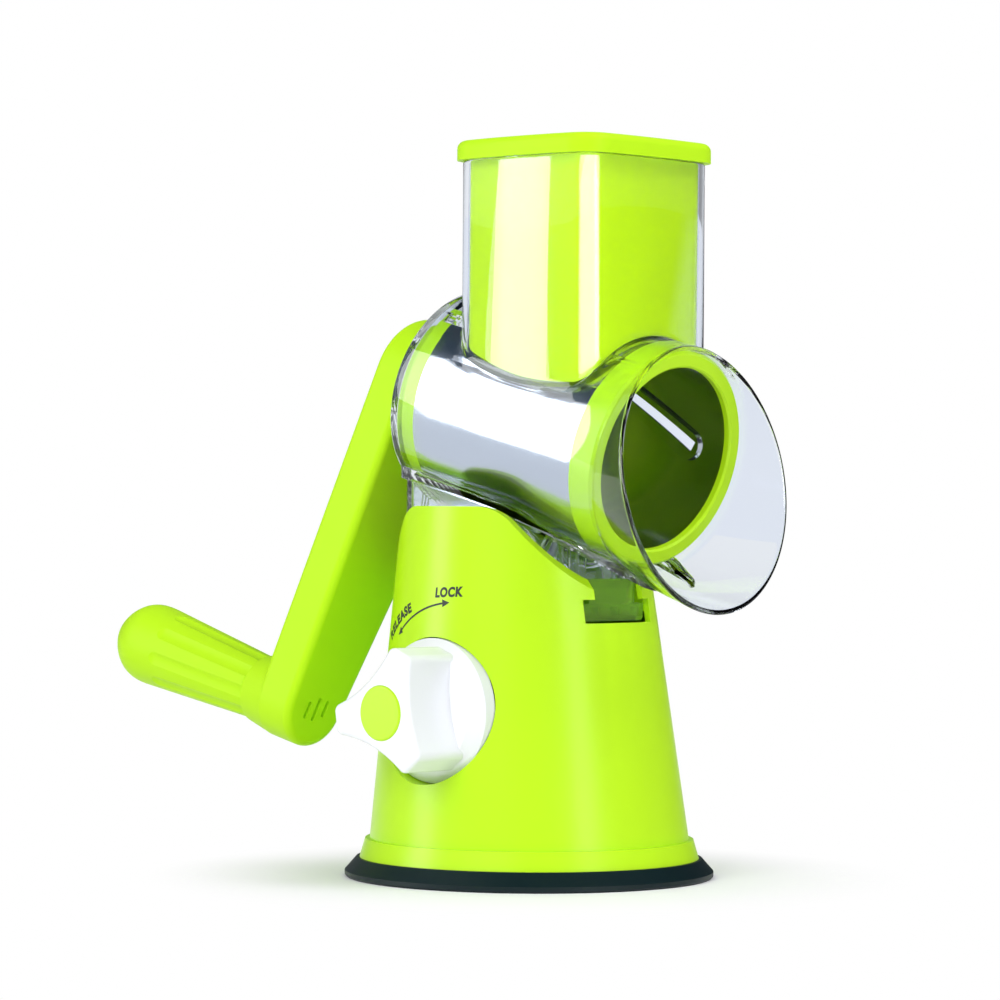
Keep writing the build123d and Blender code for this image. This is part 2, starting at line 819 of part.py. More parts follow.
def crank_arm_back():
    arm = arm_shell(arm_back_station, arm_bosses)
    arm -= rod(shaft_head_radius + seat_gap, arm_seam_station - shaft_head / 2, arm_seam_station + 1)
    end = arm_back_station - grip_boss_length
    boss = Pos(tip_w, tip_v, 0) * turned([
        (0, end),
        (grip_boss_radius, end),
        (arm_tip_radius, arm_back_station + arm_edge),
        (0, arm_back_station + arm_edge),
    ])
    arm += boss
    arm -= Pos(tip_w, tip_v, 0) * rod(grip_pin_radius + seat_gap, end - 1, arm_seam_station + 1)
    head = rod(pin_head_radius + seat_gap, arm_seam_station - shaft_head / 2, arm_seam_station + 1)
    arm -= Pos(tip_w, tip_v, 0) * head
    screw_way = rod(screw_radius + seat_gap, arm_back_station - 1, arm_seam_station + 1)
    screw_way += rod(screw_head_radius + seat_gap, arm_back_station - 1, arm_back_station + screw_head_height)
    arm -= Pos(mid_w, mid_v, 0) * screw_way
    return along_drum(arm)


def drive_shaft():
    journal_end = barrel_rear + plastic_wall + 0.5
    shaft = rod(shaft_radius, arm_seam_station, journal_end)
    shaft += rod(shaft_head_radius, arm_seam_station - shaft_head / 2, arm_seam_station + shaft_head / 2)
    shaft += Pos(0, 0, journal_end) * Box(
        square_side, square_side, hub_rear + 13 - journal_end, align=(Align.CENTER, Align.CENTER, Align.MIN)
    )
    return along_drum(shaft)


def arm_screw():
    place = Pos(mid_w, mid_v, arm_back_station + screw_head_height)
    return along_drum(place * screw(arm_thickness - screw_head_height - arm_wall - 1))


def grip_pin():
    head = rod(pin_head_radius, arm_seam_station - shaft_head / 2, arm_seam_station + shaft_head / 2)
    root = arm_back_station - grip_boss_length
    pin = head + rod(grip_pin_radius, root - grip_pin_length, arm_seam_station)
    pin += rod(grip_pin_radius + pin_bead, root - grip_pin_length, root - grip_pin_length + pin_bead_length)
    return along_drum(Pos(tip_w, tip_v, 0) * pin)


def grip():
    """Tapered, fluted handle with a domed end, drawn pointing along +Z from its root."""
    swell = grip_swell_station
    profile = [
        Line((0, 0), (grip_root_radius - 0.8, 0)),
        Line((grip_root_radius - 0.8, 0), (grip_root_radius, 0.8)),
        Line((grip_root_radius, 0.8), (grip_swell_radius, swell)),
        Spline(
            (grip_swell_radius, swell),
            (grip_swell_radius * 0.93, swell + (grip_length - swell) * 0.5),
            (grip_swell_radius * 0.6, swell + (grip_length - swell) * 0.85),
            (0, grip_length),
            tangents=[(grip_swell_radius - grip_root_radius, swell), (-1, 0)],
        ),
        Line((0, grip_length), (0, 0)),
    ]
    body = revolve(Plane.XZ * make_face(profile), Axis.Z)
    slope = degrees(atan2(grip_swell_radius - grip_root_radius, swell))
    first = grip_root_radius + grip_flute_radius - grip_flute_depth
    flute = rod(grip_flute_radius, -5, grip_flute_end) + Pos(0, 0, grip_flute_end) * Sphere(grip_flute_radius)
    flute = Pos(first, 0, 0) * (Rot(0, slope, 0) * flute)
    for k in range(grip_flute_count):
        body -= Rot(0, 0, grip_flute_turn + 360 / grip_flute_count * k) * flute
    body -= rod(grip_pin_radius + seat_gap, -1, grip_pin_length)
    bead_seat = (grip_pin_length - pin_bead_length - running_gap, grip_pin_length + running_gap)
    body -= rod(grip_pin_radius + pin_bead + seat_gap, *bead_seat)
    flipped = Rot(180, 0, 0) * body
    return along_drum(Pos(tip_w, tip_v, arm_back_station - grip_boss_length - running_gap) * flipped)


# ---------------------------------------------------------------------------
# Write every sub-part
# ---------------------------------------------------------------------------
nodes = {
    "base_housing": base_housing,
    "rubber_foot": rubber_foot,
    "suction_membrane": suction_membrane,
    "mechanism_frame": mechanism_frame,
    "base_screws": base_screws,
    "lock_knob": lock_knob,
    "knob_cap": knob_cap,
    "knob_screw": knob_screw,
    "cam_shaft": cam_shaft,
    "lift_cam": lift_cam,
    "pull_rod": pull_rod,
    "pull_plate": pull_plate,
    "feed_hopper": feed_hopper,
    "drum_barrel": drum_barrel,
    "barrel_pedestal": barrel_pedestal,
    "axle_bush": axle_bush,
    "latch_tab": latch_tab,
    "drum_shell": drum_shell,
    "front_collar": front_collar,
    "rear_hub": rear_hub,
    "pusher_body": pusher_body,
    "pusher_cap": pusher_cap,
    "crank_arm_front": crank_arm_front,
    "crank_arm_back": crank_arm_back,
    "drive_shaft": drive_shaft,
    "arm_screw": arm_screw,
    "grip_pin": grip_pin,
    "grip": grip,
}

os.makedirs("parts", exist_ok=True)
for name, make in nodes.items():
    shape = make()
    solids = shape if isinstance(shape, list) else [shape]
    body = Compound(children=[solid for item in solids for solid in item.solids()])
    export_step(body, f"parts/{name}.step")
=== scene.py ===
import json
from math import asin, atan2, cos, hypot, pi, radians, sin, sqrt, tan

import bmesh
import bpy
from mathutils import Matrix, Vector


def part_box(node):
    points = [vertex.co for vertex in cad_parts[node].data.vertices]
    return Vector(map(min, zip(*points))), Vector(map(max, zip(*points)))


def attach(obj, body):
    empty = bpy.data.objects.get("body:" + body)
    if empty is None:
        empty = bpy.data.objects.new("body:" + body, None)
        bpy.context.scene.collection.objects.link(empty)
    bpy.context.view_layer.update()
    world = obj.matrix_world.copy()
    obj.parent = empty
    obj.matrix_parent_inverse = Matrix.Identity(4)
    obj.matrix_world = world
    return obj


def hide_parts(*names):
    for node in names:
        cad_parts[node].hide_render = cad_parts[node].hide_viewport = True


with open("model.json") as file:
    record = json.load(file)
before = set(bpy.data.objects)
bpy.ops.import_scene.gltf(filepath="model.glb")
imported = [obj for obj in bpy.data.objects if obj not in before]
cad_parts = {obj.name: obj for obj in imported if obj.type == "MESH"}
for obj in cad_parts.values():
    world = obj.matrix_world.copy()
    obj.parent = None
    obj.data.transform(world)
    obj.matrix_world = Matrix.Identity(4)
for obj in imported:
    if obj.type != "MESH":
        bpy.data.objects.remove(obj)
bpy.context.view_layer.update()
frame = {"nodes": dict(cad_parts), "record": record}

# ---------------------------------------------------------------------------
# Camera
# It stands a metre and a half away, level with the lower half of the tool, and
# looks at the mouth and at the side with the knob.
# ---------------------------------------------------------------------------
scene = bpy.context.scene
camera_reach = 1.50857
camera_height = 0.1433
camera_bearing = radians(47.97)
camera_roll = radians(0.39)
camera_data = bpy.data.cameras.new("camera")
camera_data.sensor_width = 36.0
camera_data.lens = 142.34
camera_data.shift_x = -0.0316
camera_data.clip_end = 50.0
camera = bpy.data.objects.new("camera", camera_data)
scene.collection.objects.link(camera)
towards = Vector((cos(camera_bearing), -sin(camera_bearing), 0.0))
facing = towards.to_track_quat("Z", "Y").to_matrix().to_4x4()
stand = Matrix.Translation(towards * camera_reach + Vector((0, 0, camera_height)))
camera.matrix_world = stand @ facing @ Matrix.Rotation(camera_roll, 4, "Z")
scene.camera = camera

# ---------------------------------------------------------------------------
# Studio
# A matt white table that runs out into an even white backdrop. Two high soft
# boxes light the tool, a tall one on the left draws the band on the drum, and a
# strip and a low card draw stripes. Clear walls need many bounces to stay clear.
# ---------------------------------------------------------------------------
scene.view_settings.view_transform = "Standard"
scene.cycles.max_bounces = 28
scene.cycles.glossy_bounces = 16
scene.cycles.transmission_bounces = 24
scene.cycles.transparent_max_bounces = 24


def linear(*byte_values):
    """A colour written as 0-255 values, as a shader wants it."""
    parts = []
    for value in byte_values:
        c = value / 255
        parts.append(c / 12.92 if c <= 0.04045 else ((c + 0.055) / 1.055) ** 2.4)
    return (*parts, 1.0)


def add_node(tree, kind, **values):
    """A shader node whose attributes, or else input sockets, take these values."""
    node = tree.nodes.new(kind)
    for label, value in values.items():
        if hasattr(node, label):
            setattr(node, label, value)
        else:
            node.inputs[label.replace("_", " ")].default_value = value
    return node


def wire(tree, *pairs):
    """Links each output socket to the input socket it is paired with."""
    for output, socket in pairs:
        tree.links.new(output, socket)


def level_direction(bearing):
    """The level unit vector at a bearing in degrees, counted to the right from the camera's."""
    angle = radians(bearing) - camera_bearing
    return Vector((cos(angle), sin(angle), 0))


world = bpy.data.worlds.new("studio")
scene.world = world
world.use_nodes = True
sky = world.node_tree
sky.nodes.clear()
sky_direction = add_node(sky, "ShaderNodeTexCoord").outputs["Generated"]
sky_height = add_node(sky, "ShaderNodeSeparateXYZ")
wire(sky, (sky_direction, sky_height.inputs[0]))


def sky_mix(share, first, second):
    """A blend from the first colour to the second. Each may be a plain colour or a socket."""
    mix = add_node(sky, "ShaderNodeMix", data_type="RGBA")
    wire(sky, (share, mix.inputs[0]))
    for colour, socket in ((first, mix.inputs[6]), (second, mix.inputs[7])):
        if isinstance(colour, tuple):
            socket.default_value = colour
        else:
            wire(sky, (colour, socket))
    return mix.outputs[2]


def sky_ramp(measure, low, high, low_colour, high_colour):
    """A smooth change between two colours while a measure rises from low to high."""
    ramp = add_node(sky, "ShaderNodeMapRange", interpolation_type="SMOOTHSTEP", From_Min=low, From_Max=high)
    wire(sky, (measure, ramp.inputs["Value"]))
    return sky_mix(ramp.outputs["Result"], low_colour, high_colour)


def nearness(bearing):
    """How much a direction points to a bearing: 1 straight at it, 0 square to it."""
    side = add_node(sky, "ShaderNodeVectorMath", operation="DOT_PRODUCT")
    side.inputs[1].default_value = level_direction(bearing)
    wire(sky, (sky_direction, side.inputs[0]))
    return side.outputs["Value"]


dark_room = (0.05, 0.05, 0.06, 1)
grey_wall, dark_ceiling = (0.20, 0.21, 0.23, 1), (0.03, 0.05, 0.07, 1)
white_wall, dim_ceiling = (0.93, 0.95, 1.0, 1), (0.05, 0.08, 0.11, 1)
even_grey = (0.48, 0.48, 0.49, 1)
backdrop_white = (1, 1, 1, 1)
rise = sky_height.outputs["Z"]
left_wall = sky_ramp(rise, low=0.35, high=0.65, low_colour=grey_wall, high_colour=dark_ceiling)
rear_wall = sky_ramp(rise, low=0.55, high=0.75, low_colour=white_wall, high_colour=dim_ceiling)
in_gloss = sky_ramp(nearness(-115), low=-0.1, high=0.5, low_colour=dark_room, high_colour=left_wall)
through_walls = sky_ramp(nearness(180), low=0.28, high=0.42, low_colour=in_gloss, high_colour=rear_wall)
sky_path = add_node(sky, "ShaderNodeLightPath")
seen = even_grey
for ray, colour in (
    ("Is Glossy Ray", in_gloss),
    ("Is Transmission Ray", through_walls),
    ("Is Camera Ray", backdrop_white),
):
    seen = sky_mix(sky_path.outputs[ray], seen, colour)
backdrop = add_node(sky, "ShaderNodeBackground", Strength=1.0)
world_output = add_node(sky, "ShaderNodeOutputWorld")
wire(sky, (seen, backdrop.inputs["Color"]), (backdrop.outputs[0], world_output.inputs["Surface"]))

# Past the tool's own shadow the table glows as white as the backdrop, so no horizon
# shows. On the right the glow is dimmed for every ray but the camera's, or the clear
# walls there would look milky.
table_reach = 6.0
glow_start, glow_full = 0.06, 0.15
right_bearing, right_start, right_full, right_glow = 95, 0.2, 0.6, 0.35
corners = [(x * table_reach, y * table_reach, 0) for x, y in ((-1, -1), (1, -1), (1, 1), (-1, 1))]
table_mesh = bpy.data.meshes.new("table_top")
table_mesh.from_pydata(corners, [], [(0, 1, 2, 3)])
table_top = bpy.data.objects.new("table_top", table_mesh)
scene.collection.objects.link(table_top)
table_white = bpy.data.materials.new("table_white")
table_white.use_nodes = True
tree = table_white.node_tree
matt = tree.nodes["Principled BSDF"]
matt.inputs["Base Color"].default_value = linear(248, 249, 251)
matt.inputs["Roughness"].default_value = 0.55
matt.inputs["Specular IOR Level"].default_value = 0.15
place = add_node(tree, "ShaderNodeTexCoord")
reach = add_node(tree, "ShaderNodeVectorMath", operation="LENGTH")
fade = add_node(
    tree, "ShaderNodeMapRange", interpolation_type="SMOOTHSTEP", From_Min=glow_start, From_Max=glow_full
)
path = add_node(tree, "ShaderNodeLightPath")
camera_or_gloss = add_node(tree, "ShaderNodeMath", operation="MAXIMUM")
any_sight = add_node(tree, "ShaderNodeMath", operation="MAXIMUM")
share = add_node(tree, "ShaderNodeMath", operation="MULTIPLY")
glow = add_node(tree, "ShaderNodeEmission", Color=backdrop_white)
outward = add_node(tree, "ShaderNodeVectorMath", operation="NORMALIZE")
to_right = add_node(tree, "ShaderNodeVectorMath", operation="DOT_PRODUCT")
to_right.inputs[1].default_value = level_direction(right_bearing)
dimmed = add_node(
    tree, "ShaderNodeMapRange", interpolation_type="SMOOTHSTEP",
    From_Min=right_start, From_Max=right_full, To_Min=1.0, To_Max=right_glow
)
plain_sight = add_node(tree, "ShaderNodeMath", operation="MAXIMUM")
blend = add_node(tree, "ShaderNodeMixShader")
wire(
    tree,
    (place.outputs["Object"], reach.inputs[0]),
    (reach.outputs["Value"], fade.inputs["Value"]),
    (place.outputs["Object"], outward.inputs[0]),
    (outward.outputs["Vector"], to_right.inputs[0]),
    (to_right.outputs["Value"], dimmed.inputs["Value"]),
    (dimmed.outputs["Result"], plain_sight.inputs[0]),
    (path.outputs["Is Camera Ray"], plain_sight.inputs[1]),
    (plain_sight.outputs[0], glow.inputs["Strength"]),
    (path.outputs["Is Camera Ray"], camera_or_gloss.inputs[0]),
    (path.outputs["Is Glossy Ray"], camera_or_gloss.inputs[1]),
    (camera_or_gloss.outputs[0], any_sight.inputs[0]),
    (path.outputs["Is Transmission Ray"], any_sight.inputs[1]),
    (fade.outputs["Result"], share.inputs[0]),
    (any_sight.outputs[0], share.inputs[1]),
    (share.outputs[0], blend.inputs[0]),
    (matt.outputs[0], blend.inputs[1]),
    (glow.outputs[0], blend.inputs[2]),
    (blend.outputs[0], tree.nodes["Material Output"].inputs["Surface"]),
)
table_mesh.materials.append(table_white)


tilt_height = 0.6


def soft_box(name, bearing, distance, middle, width, tall, radiance, **rays):
    """An area lamp with its middle at that height. It faces the tool, level up to the tilt height and
    looking down from above it. The last values say which rays see it."""
    data = bpy.data.lights.new(name, "AREA")
    data.shape = "RECTANGLE"
    data.size, data.size_y, data.energy = width, tall, radiance * pi * width * tall
    lamp = bpy.data.objects.new(name, data)
    scene.collection.objects.link(lamp)
    spot = level_direction(bearing) * distance + Vector((0, 0, middle))
    aim = Vector((spot.x, spot.y, max(middle - tilt_height, 0)))
    lamp.matrix_world = Matrix.Translation(spot) @ aim.to_track_quat("Z", "Y").to_matrix().to_4x4()
    lamp.visible_camera = False
    for ray, value in rays.items():
        setattr(lamp, ray, value)
    return lamp


only_reflected = {"visible_diffuse": False}
not_reflected = {"visible_glossy": False, "visible_transmission": False}
soft_box("left_soft_box", bearing=-80.5, distance=1.1, middle=0.52, width=0.33, tall=1.02, radiance=5.4,
         **only_reflected)
soft_box("right_strip", bearing=42, distance=1.5, middle=0.35, width=0.40, tall=0.7, radiance=4.0,
         **only_reflected)
soft_box("front_soft_box", bearing=-30, distance=1.7, middle=1.1, width=1.2, tall=1.2, radiance=5.0,
         **not_reflected)
soft_box("right_soft_box", bearing=72, distance=0.9, middle=1.35, width=0.9, tall=0.9, radiance=4.6,
         **not_reflected)
hopper_card = soft_box("hopper_card", bearing=11, distance=0.46, middle=0.29, width=0.74, tall=0.18, radiance=6.5,
                       **only_reflected)

# ---------------------------------------------------------------------------
# Base housing
# The leaning lime cone with its two ears is one glossy ABS moulding, snapped over
# the rubber foot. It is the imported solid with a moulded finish.
# ---------------------------------------------------------------------------
nodes = frame["nodes"]


def moulded(name, colour, roughness, grain, depth, speck_scale=1500.0, **values):
    """Injection-moulded plastic: a fine noise bump and a roughness that wavers with it."""
    material = bpy.data.materials.new(name)
    material.use_nodes = True
    tree = material.node_tree
    surface = tree.nodes["Principled BSDF"]
    surface.inputs["Base Color"].default_value = colour
    for label, value in values.items():
        surface.inputs[label.replace("_", " ")].default_value = value
    place = add_node(tree, "ShaderNodeTexCoord")
    specks = add_node(tree, "ShaderNodeTexNoise", Scale=speck_scale, Detail=3.0, Roughness=0.55)
    waves = add_node(tree, "ShaderNodeTexNoise", Scale=40.0, Detail=2.0, Roughness=0.5)
    wavering = add_node(tree, "ShaderNodeMapRange", To_Min=roughness - grain, To_Max=roughness + grain)
    bump = add_node(tree, "ShaderNodeBump", Strength=0.5, Distance=depth)
    wire(
        tree,
        (place.outputs["Object"], specks.inputs["Vector"]),
        (place.outputs["Object"], waves.inputs["Vector"]),
        (waves.outputs["Fac"], wavering.inputs["Value"]),
        (wavering.outputs["Result"], surface.inputs["Roughness"]),
        (specks.outputs["Fac"], bump.inputs["Height"]),
        (bump.outputs["Normal"], surface.inputs["Normal"]),
    )
    return material


def finish(material, *names):
    """Gives CAD nodes one material."""
    for name in names:
        mesh = nodes[name].data
        mesh.materials.clear()
        mesh.materials.append(material)


lime_gloss = moulded(
    "lime_gloss_plastic", linear(191, 242, 26), roughness=0.30, grain=0.04, depth=0.00001, Specular_IOR_Level=0.35
)
finish(lime_gloss, "base_housing")

# ---------------------------------------------------------------------------
# Lock marks
# A double-headed arrow and two plain words are printed in dark ink on the cone
# above the knob, to show which way it locks and which way it lets go.
# ---------------------------------------------------------------------------
mm = 0.001
joints = {joint["name"]: joint for joint in frame["record"]["behaviour"]["joints"]}
cone_radius = 60.85 * mm
cone_taper = 0.1195
cone_lean = 0.0395
band_top = 14.5 * mm
ink_lift = 0.03 * mm
ink_thickness = 0.04 * mm
letter_height = 3.4 * mm
capital_share = 0.70
letter_spacing = 1.12
stroke_swell = 0.24 * mm
lock_start, lock_end = Vector((-3.2 * mm, 106.9 * mm)), Vector((9.3 * mm, 107.5 * mm))
release_radius, release_end = 39.2 * mm, radians(111)
arc_centre = (7.44 * mm, 58.83 * mm)
arc_radius = 46.3 * mm
arc_start, arc_end = radians(94.5), radians(134.0)
arc_width = 0.72 * mm
arrow_length = 3.2 * mm
arrow_width = 2.9 * mm
arrow_tip = 0.04 * mm
shaft_steps = 24


def on_cone(x, z, lift):
    """The point of the cone's knob side in front of (x, z), lifted off the skin."""
    rise = z - band_top
    radius = cone_radius - cone_taper * rise + lift
    return Vector((x, -sqrt(radius**2 - (x + cone_lean * rise) ** 2), z))


def new_piece(name, mesh, body, material, smooth_angle=None):
    """A finished mesh as a piece at the origin, on a body, with its material."""
    piece = bpy.data.objects.new(name, mesh)
    scene.collection.objects.link(piece)
    mesh.materials.clear()
    mesh.materials.append(material)
    if smooth_angle is not None:
        mesh.shade_smooth()
        mesh.set_sharp_from_angle(angle=radians(smooth_angle))
    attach(piece, body)
    return piece


def printed_plate(outline, under, over):
    """Vertices and faces of a thin plate on the cone from (x, z) pairs along its two long edges."""
    left, right = outline
    rows = [[on_cone(x, z, lift) for x, z in side] for side, lift in
            ((left, over), (right, over), (right, under), (left, under))]
    count = len(left)
    vertices = [row[i] for i in range(count) for row in rows]
    faces = [(4 * i + k, 4 * i + (k + 1) % 4, 4 * i + 4 + (k + 1) % 4, 4 * i + 4 + k)
             for i in range(count - 1) for k in range(4)]
    faces += [(0, 3, 2, 1), tuple(4 * count - 4 + k for k in range(4))]
    return vertices, faces


def double_arrow():
    """The arc and its two heads as one outline: tip, barbs, shaft, barbs, tip."""
    head = arrow_length / arc_radius
    stations = [arc_start, arc_start + head]
    half_widths = [arrow_tip / 2, arrow_width / 2]
    for i in range(shaft_steps + 1):
        stations.append(arc_start + head + (arc_end - arc_start - 2 * head) * i / shaft_steps)
        half_widths.append(arc_width / 2)
    stations += [arc_end - head, arc_end]
    half_widths += [arrow_width / 2, arrow_tip / 2]
    sides = [[(arc_centre[0] + (arc_radius + sign * half) * cos(angle),
               arc_centre[1] + (arc_radius + sign * half) * sin(angle))
              for angle, half in zip(stations, half_widths)] for sign in (-1, 1)]
    return printed_plate(sides, ink_lift, ink_lift + ink_thickness)


def printed_word(text, to_surface):
    """A word as a thin closed mesh: u runs along its baseline, v up, both in metres."""
    curve = bpy.data.curves.new(text, "FONT")
    curve.body = text
    curve.size = letter_height / capital_share
    curve.space_character = letter_spacing
    curve.offset = stroke_swell
    curve.extrude = ink_thickness / 2
    curve.resolution_u = 4
    scratch = bpy.data.objects.new(text, curve)
    scene.collection.objects.link(scratch)
    bpy.context.view_layer.update()
    mesh = bpy.data.meshes.new_from_object(scratch)
    bpy.data.objects.remove(scratch)
    width = max(v.co.x for v in mesh.vertices)
    for v in mesh.vertices:
        x, z = to_surface(v.co.x, v.co.y, width)
        v.co = on_cone(x, z, ink_lift + ink_thickness / 2 + v.co.z)
    return mesh


def lock_line(u, v, width):
    """LOCK stands on a straight baseline that rises slightly."""
    along = (lock_end - lock_start) / width
    return lock_start + along * u + Vector((0, v))


def release_arc(u, v, width):
    """RELEASE bends round the knob's axis and ends short of the arrow's tip."""
    knob = joints["knob_turn"]["pos_m"]
    angle = release_end + (width - u) / release_radius
    return knob[0] + (release_radius + v) * cos(angle), knob[2] + (release_radius + v) * sin(angle)


ink = moulded("dark_ink", linear(44, 52, 44), roughness=0.5, grain=0.05, depth=0.000004)
parts = bmesh.new()
for mesh in (printed_word("LOCK", lock_line), printed_word("RELEASE", release_arc)):
    parts.from_mesh(mesh)
    bpy.data.meshes.remove(mesh)
arrow = bpy.data.meshes.new("arrow")
arrow_vertices, arrow_faces = double_arrow()
arrow.from_pydata(arrow_vertices, [], arrow_faces)
parts.from_mesh(arrow)
bmesh.ops.recalc_face_normals(parts, faces=parts.faces)
marks_mesh = bpy.data.meshes.new("lock_marks")
parts.to_mesh(marks_mesh)
parts.free()
new_piece("lock_marks", marks_mesh, "base", ink)

# ---------------------------------------------------------------------------
# Foot and membrane
# Black rubber, moulded in one: the wide foot grips the table and the membrane
# inside it is pulled up to hold by suction.
# ---------------------------------------------------------------------------
black_rubber = moulded(
    "teal_black_rubber", linear(8, 31, 35), roughness=0.44, grain=0.08, depth=0.00002, speck_scale=900.0,
    Specular_IOR_Level=0.32
)
finish(black_rubber, "rubber_foot", "suction_membrane")

# ---------------------------------------------------------------------------
# Lock mechanism
# The frame and its cam, rod and plate are grey acetal. The cross shaft is
# ground steel.
# ---------------------------------------------------------------------------
grey_acetal = moulded("grey_acetal", linear(128, 132, 138), roughness=0.45, grain=0.06, depth=0.00001)
finish(grey_acetal, "mechanism_frame", "lift_cam", "pull_rod", "pull_plate")
ground_steel = moulded(
    "ground_steel", linear(176, 179, 184), roughness=0.28, grain=0.07, depth=0.000006, Metallic=1.0
)
finish(ground_steel, "cam_shaft")

# ---------------------------------------------------------------------------
# Base screws
# Three steel pan-head screws hold the mechanism frame up against the bosses
# inside the cone.
# ---------------------------------------------------------------------------
finish(ground_steel, "base_screws")

# ---------------------------------------------------------------------------
# Lock knob
# The white gloss star and its round foot are one moulding, screwed to the cross
# shaft. A lime cap hides the screw.
# ---------------------------------------------------------------------------
white_gloss = moulded("white_gloss_plastic", linear(245, 247, 251), roughness=0.22, grain=0.04, depth=0.000008)
finish(white_gloss, "lock_knob")
finish(lime_gloss, "knob_cap")
finish(ground_steel, "knob_screw")

# ---------------------------------------------------------------------------
# Clear housing
# Hopper, barrel, bell mouth and pedestal are one moulding of clear SAN. Its
# lips are rounded and a small fillet runs round the root of the hopper.
# ---------------------------------------------------------------------------
clear_tint = (0.84, 0.88, 0.94, 1)
clear_wall = 1.9 * mm
hopper_wall = 2.2 * mm
end_plate = 2.4 * mm
barrel_rear, barrel_front = -35.4 * mm, 71.0 * mm
barrel_rear_radius, barrel_front_radius = 41.3 * mm, 43.3 * mm
bell_length, bell_rim_radius = 40.0 * mm, 49.4 * mm
bell_swell = 5.6 * mm
mouth_station, mouth_rise, mouth_angle = 89.4 * mm, -2.6 * mm, radians(22.5)
sleeve_radius, sleeve_bore, sleeve_length = 13.0 * mm, 8.05 * mm, 8.0 * mm
sleeve_edge, bore_edge = 0.6 * mm, 0.3 * mm
sleeve_root, sleeve_hollow = 0.7 * mm, 0.2 * mm
end_round = 0.8 * mm
least_flare = 3.0 * mm
round_steps, straight_steps, flared_steps = 7, 6, 22
lip_steps = 12
round_count = 432
mouth_trials, height_trials = 12, 10

drum_centre = Vector(joints["crank_turn"]["pos_m"])
drum_axis = Vector(joints["crank_turn"]["axis"]).normalized()
drum_up = Vector((-drum_axis.z, 0, drum_axis.x))
drum_side = drum_axis.cross(drum_up)


def clear(name, tint, roughness=0.0, clarity=1.0):
    """Moulded plastic, clear or a little cloudy, with faint flow waves. It lets the lamps through."""
    material = bpy.data.materials.new(name)
    material.use_nodes = True
    tree = material.node_tree
    surface = tree.nodes["Principled BSDF"]
    surface.inputs["Base Color"].default_value = tint
    surface.inputs["Roughness"].default_value = roughness
    surface.inputs["IOR"].default_value = 1.47
    surface.inputs["Transmission Weight"].default_value = clarity
    place = add_node(tree, "ShaderNodeTexCoord")
    waves = add_node(tree, "ShaderNodeTexNoise", Scale=22.0, Detail=1.0, Roughness=0.4)
    bump = add_node(tree, "ShaderNodeBump", Strength=0.15, Distance=0.00015)
    lamp_light = add_node(tree, "ShaderNodeBsdfTransparent")
    lamp_light.inputs[0].default_value = tuple(sqrt(c) for c in tint)
    path = add_node(tree, "ShaderNodeLightPath")
    blend = add_node(tree, "ShaderNodeMixShader")
    wire(
        tree,
        (place.outputs["Object"], waves.inputs["Vector"]),
        (waves.outputs["Fac"], bump.inputs["Height"]),
        (bump.outputs["Normal"], surface.inputs["Normal"]),
        (path.outputs["Is Shadow Ray"], blend.inputs[0]),
        (surface.outputs[0], blend.inputs[1]),
        (lamp_light.outputs[0], blend.inputs[2]),
        (blend.outputs[0], tree.nodes["Material Output"].inputs["Surface"]),
    )
    return material


def barrel_radius(station):
    """Outer radius of the barrel and, past its front, of the flaring bell."""
    if station <= barrel_front:
        share = (station - barrel_rear) / (barrel_front - barrel_rear)
        return barrel_rear_radius + share * (barrel_front_radius - barrel_rear_radius)
    share = (station - barrel_front) / bell_length
    spread = bell_rim_radius - barrel_front_radius + bell_swell
    return barrel_front_radius + spread * share - bell_swell * share**2


def mouth_at(angle, inset):
    """Station where the slanting mouth ends the wall, at an angle about the drum axis from the top.
    Each trial takes the wall's radius from the station before."""
    station = mouth_station
    for _ in range(mouth_trials):
        height = (barrel_radius(station) - inset) * cos(angle)
        station = mouth_station - tan(mouth_angle) * (height - mouth_rise)
    return station


def about_drum(radius, station, angle):
    """The point at a radius, a station along the drum axis and an angle about it from the top."""
    return drum_centre + drum_axis * station + (drum_up * cos(angle) + drum_side * sin(angle)) * radius


def barrel_profile(angle):
    """(radius, station) points of the wall in the half plane at one angle, all round the section."""
    end = mouth_at(angle, clear_wall / 2) - clear_wall / 2
    rear = barrel_rear + end_plate
    bend = min(barrel_front, end - least_flare)
    sleeve_end = barrel_rear - sleeve_length
    points = [
        (sleeve_bore, rear),
        (sleeve_bore, sleeve_end + bore_edge),
        (sleeve_bore + bore_edge, sleeve_end),
        (sleeve_radius - sleeve_edge, sleeve_end),
        (sleeve_radius, sleeve_end + sleeve_edge),
        (sleeve_radius, barrel_rear - sleeve_root),
        (sleeve_radius + sleeve_hollow, barrel_rear - sleeve_hollow),
        (sleeve_radius + sleeve_root, barrel_rear),
        ((sleeve_radius + barrel_rear_radius) / 2, barrel_rear),
    ]
    for i in range(round_steps + 1):
        turn = pi / 2 * i / round_steps
        points.append((barrel_rear_radius - end_round * (1 - sin(turn)), barrel_rear + end_round * (1 - cos(turn))))
    straight_length = bend - rear - end_round
    straight = [rear + end_round + straight_length * i / straight_steps for i in range(straight_steps + 1)]
    flared = [bend + (end - bend) * i / flared_steps for i in range(1, flared_steps + 1)]
    points += [(barrel_radius(station), station) for station in straight + flared]
    for i in range(1, lip_steps):
        turn = pi * i / lip_steps
        radius = barrel_radius(end) - clear_wall / 2 * (1 - cos(turn))
        points.append((radius, end + clear_wall / 2 * sin(turn)))
    points += [(barrel_radius(station) - clear_wall, station) for station in (straight + flared)[::-1]]
    inner = barrel_radius(rear) - clear_wall
    for i in range(1, round_steps + 1):
        turn = pi / 2 * i / round_steps
        points.append((inner - end_round * (1 - cos(turn)), rear + end_round * (1 - sin(turn))))
    points.append(((sleeve_radius + inner) / 2, rear))
    return points


